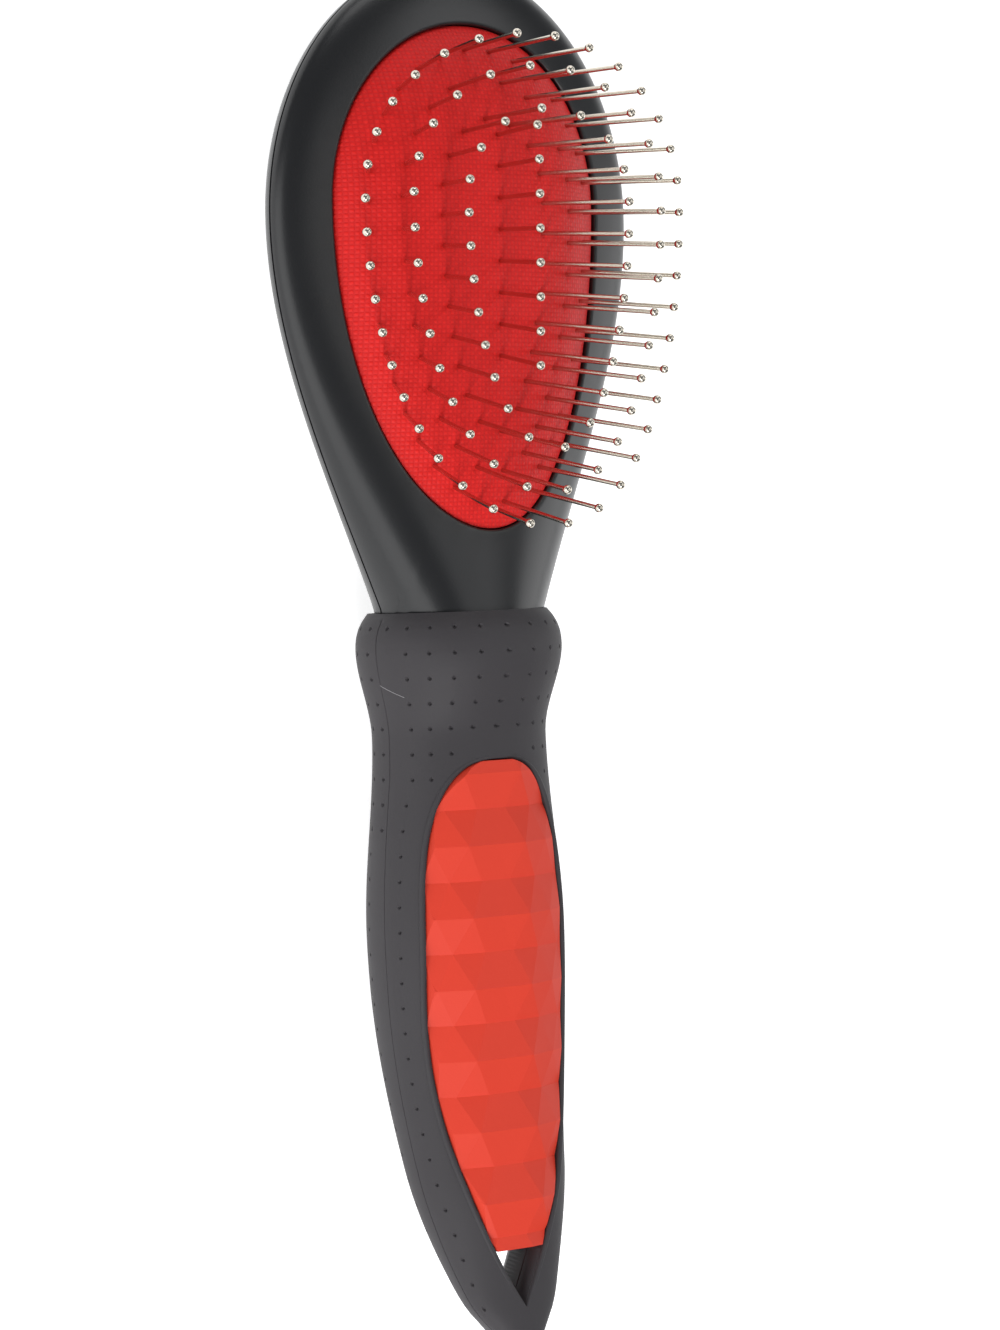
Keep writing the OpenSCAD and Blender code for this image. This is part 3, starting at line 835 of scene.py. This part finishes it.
insert = formed("ridged_insert", 2 * facet_reach + 3, facet_rows + 2, facet_corner, grip_frame)
lattice = bmesh.new()
lattice.from_mesh(insert.data)
bmesh.ops.triangulate(lattice, faces=lattice.faces, quad_method="SHORT_EDGE")
lattice.to_mesh(insert.data)
lattice.free()
cut(insert, formed("insert_outline", 8, len(insert_ys) + 1, insert_side, grip_frame), "INTERSECT")
for face in insert.data.polygons:
    face.use_smooth = False

soft_orange, tree, shader, place = material("soft orange rubber", (0.76, 0.054, 0.027),
                                            Specular_IOR_Level=0.25)
grain = add_skin(tree, shader, place, 0.55, 0.1, 2400.0, 60.0)
add_bump(tree, shader, grain, 0.00003, 0.6)
insert.data.materials.clear()
insert.data.materials.append(soft_orange)
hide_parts("facet_insert")
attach(insert, "root")


# Camera, floor and light
# The camera looks down on the brush from its left side. The floor is white to the camera and keeps a faint
# shadow, and large soft lamps stand round the brush.
turn_left = math.radians(34.07)
turn_down = math.radians(1.78)
roll = math.radians(1.97)
aim_y = 115
aim_z = 0.5
shift_right = -6.84
shift_up = 1.35
distance = 577.9
focal_px = 3447.8
frame_px = 1330
look = (Matrix.Rotation(roll, 3, "Z") @ Matrix.Rotation(turn_down, 3, "X")
        @ Matrix.Rotation(turn_left, 3, "Y")).transposed()
stand = Vector((0, aim_y, aim_z)) + look @ Vector((-shift_right, -shift_up, distance))
camera_data = bpy.data.cameras.new("camera")
camera_data.sensor_fit = "VERTICAL"
camera_data.sensor_height = 36
camera_data.lens = 36 * focal_px / frame_px
camera_data.clip_start = 0.01
camera = bpy.data.objects.new("camera", camera_data)
bpy.context.scene.collection.objects.link(camera)
placed = grip_frame @ Matrix.Translation(stand) @ look.to_4x4()
camera.matrix_world = Matrix.LocRotScale(placed.to_translation(), placed.to_quaternion(), None)
bpy.context.scene.camera = camera

bm = bmesh.new()
bmesh.ops.create_grid(bm, x_segments=1, y_segments=1, size=4)
floor = made_object(bm, "floor")
floor_glow = 0.75
white_floor, tree, shader, place = material("white floor", (0.8, 0.8, 0.8), Roughness=0.9,
                                            Specular_IOR_Level=0.2)
rays = tree.nodes.new("ShaderNodeLightPath")
seen = math_node(tree, "MAXIMUM", rays.outputs["Is Camera Ray"], math_node(
    tree, "MAXIMUM", rays.outputs["Is Glossy Ray"], rays.outputs["Is Transmission Ray"]))
shader.inputs["Emission Color"].default_value = (1, 1, 1, 1)
tree.links.new(math_node(tree, "MULTIPLY", seen, floor_glow), shader.inputs["Emission Strength"])
floor.data.materials.append(white_floor)

world = bpy.data.worlds.new("room")
world.use_nodes = True
room_light = world.node_tree.nodes["Background"]
room_light.inputs["Color"].default_value = (0.9, 0.95, 1, 1)
room_light.inputs["Strength"].default_value = 0.22
bpy.context.scene.world = world


def soft_lamp(name, position, size, watts):
    """A flat white lamp that faces the middle of the brush, with its width and height in metres."""
    lamp = bpy.data.lights.new(name, "AREA")
    lamp.shape = "RECTANGLE"
    lamp.size, lamp.size_y = size
    lamp.energy = watts
    holder = bpy.data.objects.new(name, lamp)
    holder.location = position
    holder.rotation_euler = Vector(position).to_track_quat("Z", "Y").to_euler()
    bpy.context.scene.collection.objects.link(holder)


soft_lamp("key", (-0.35, -0.8, 0.65), (0.4, 0.4), 6)
soft_lamp("left", (-1.0, -0.2, 0.42), (1.1, 0.8), 5.6)
soft_lamp("head end", (0.05, 1.2, 0.45), (0.9, 0.5), 3)
soft_lamp("overhead", (0.3, 0, 1.2), (0.9, 0.9), 2.2)
soft_lamp("right", (0.9, 0, 0.35), (0.4, 0.6), 1.5)
soft_lamp("top right", (0.6, 0.55, 0.95), (0.5, 0.5), 1.2)
bpy.context.scene.view_settings.view_transform = "Standard"
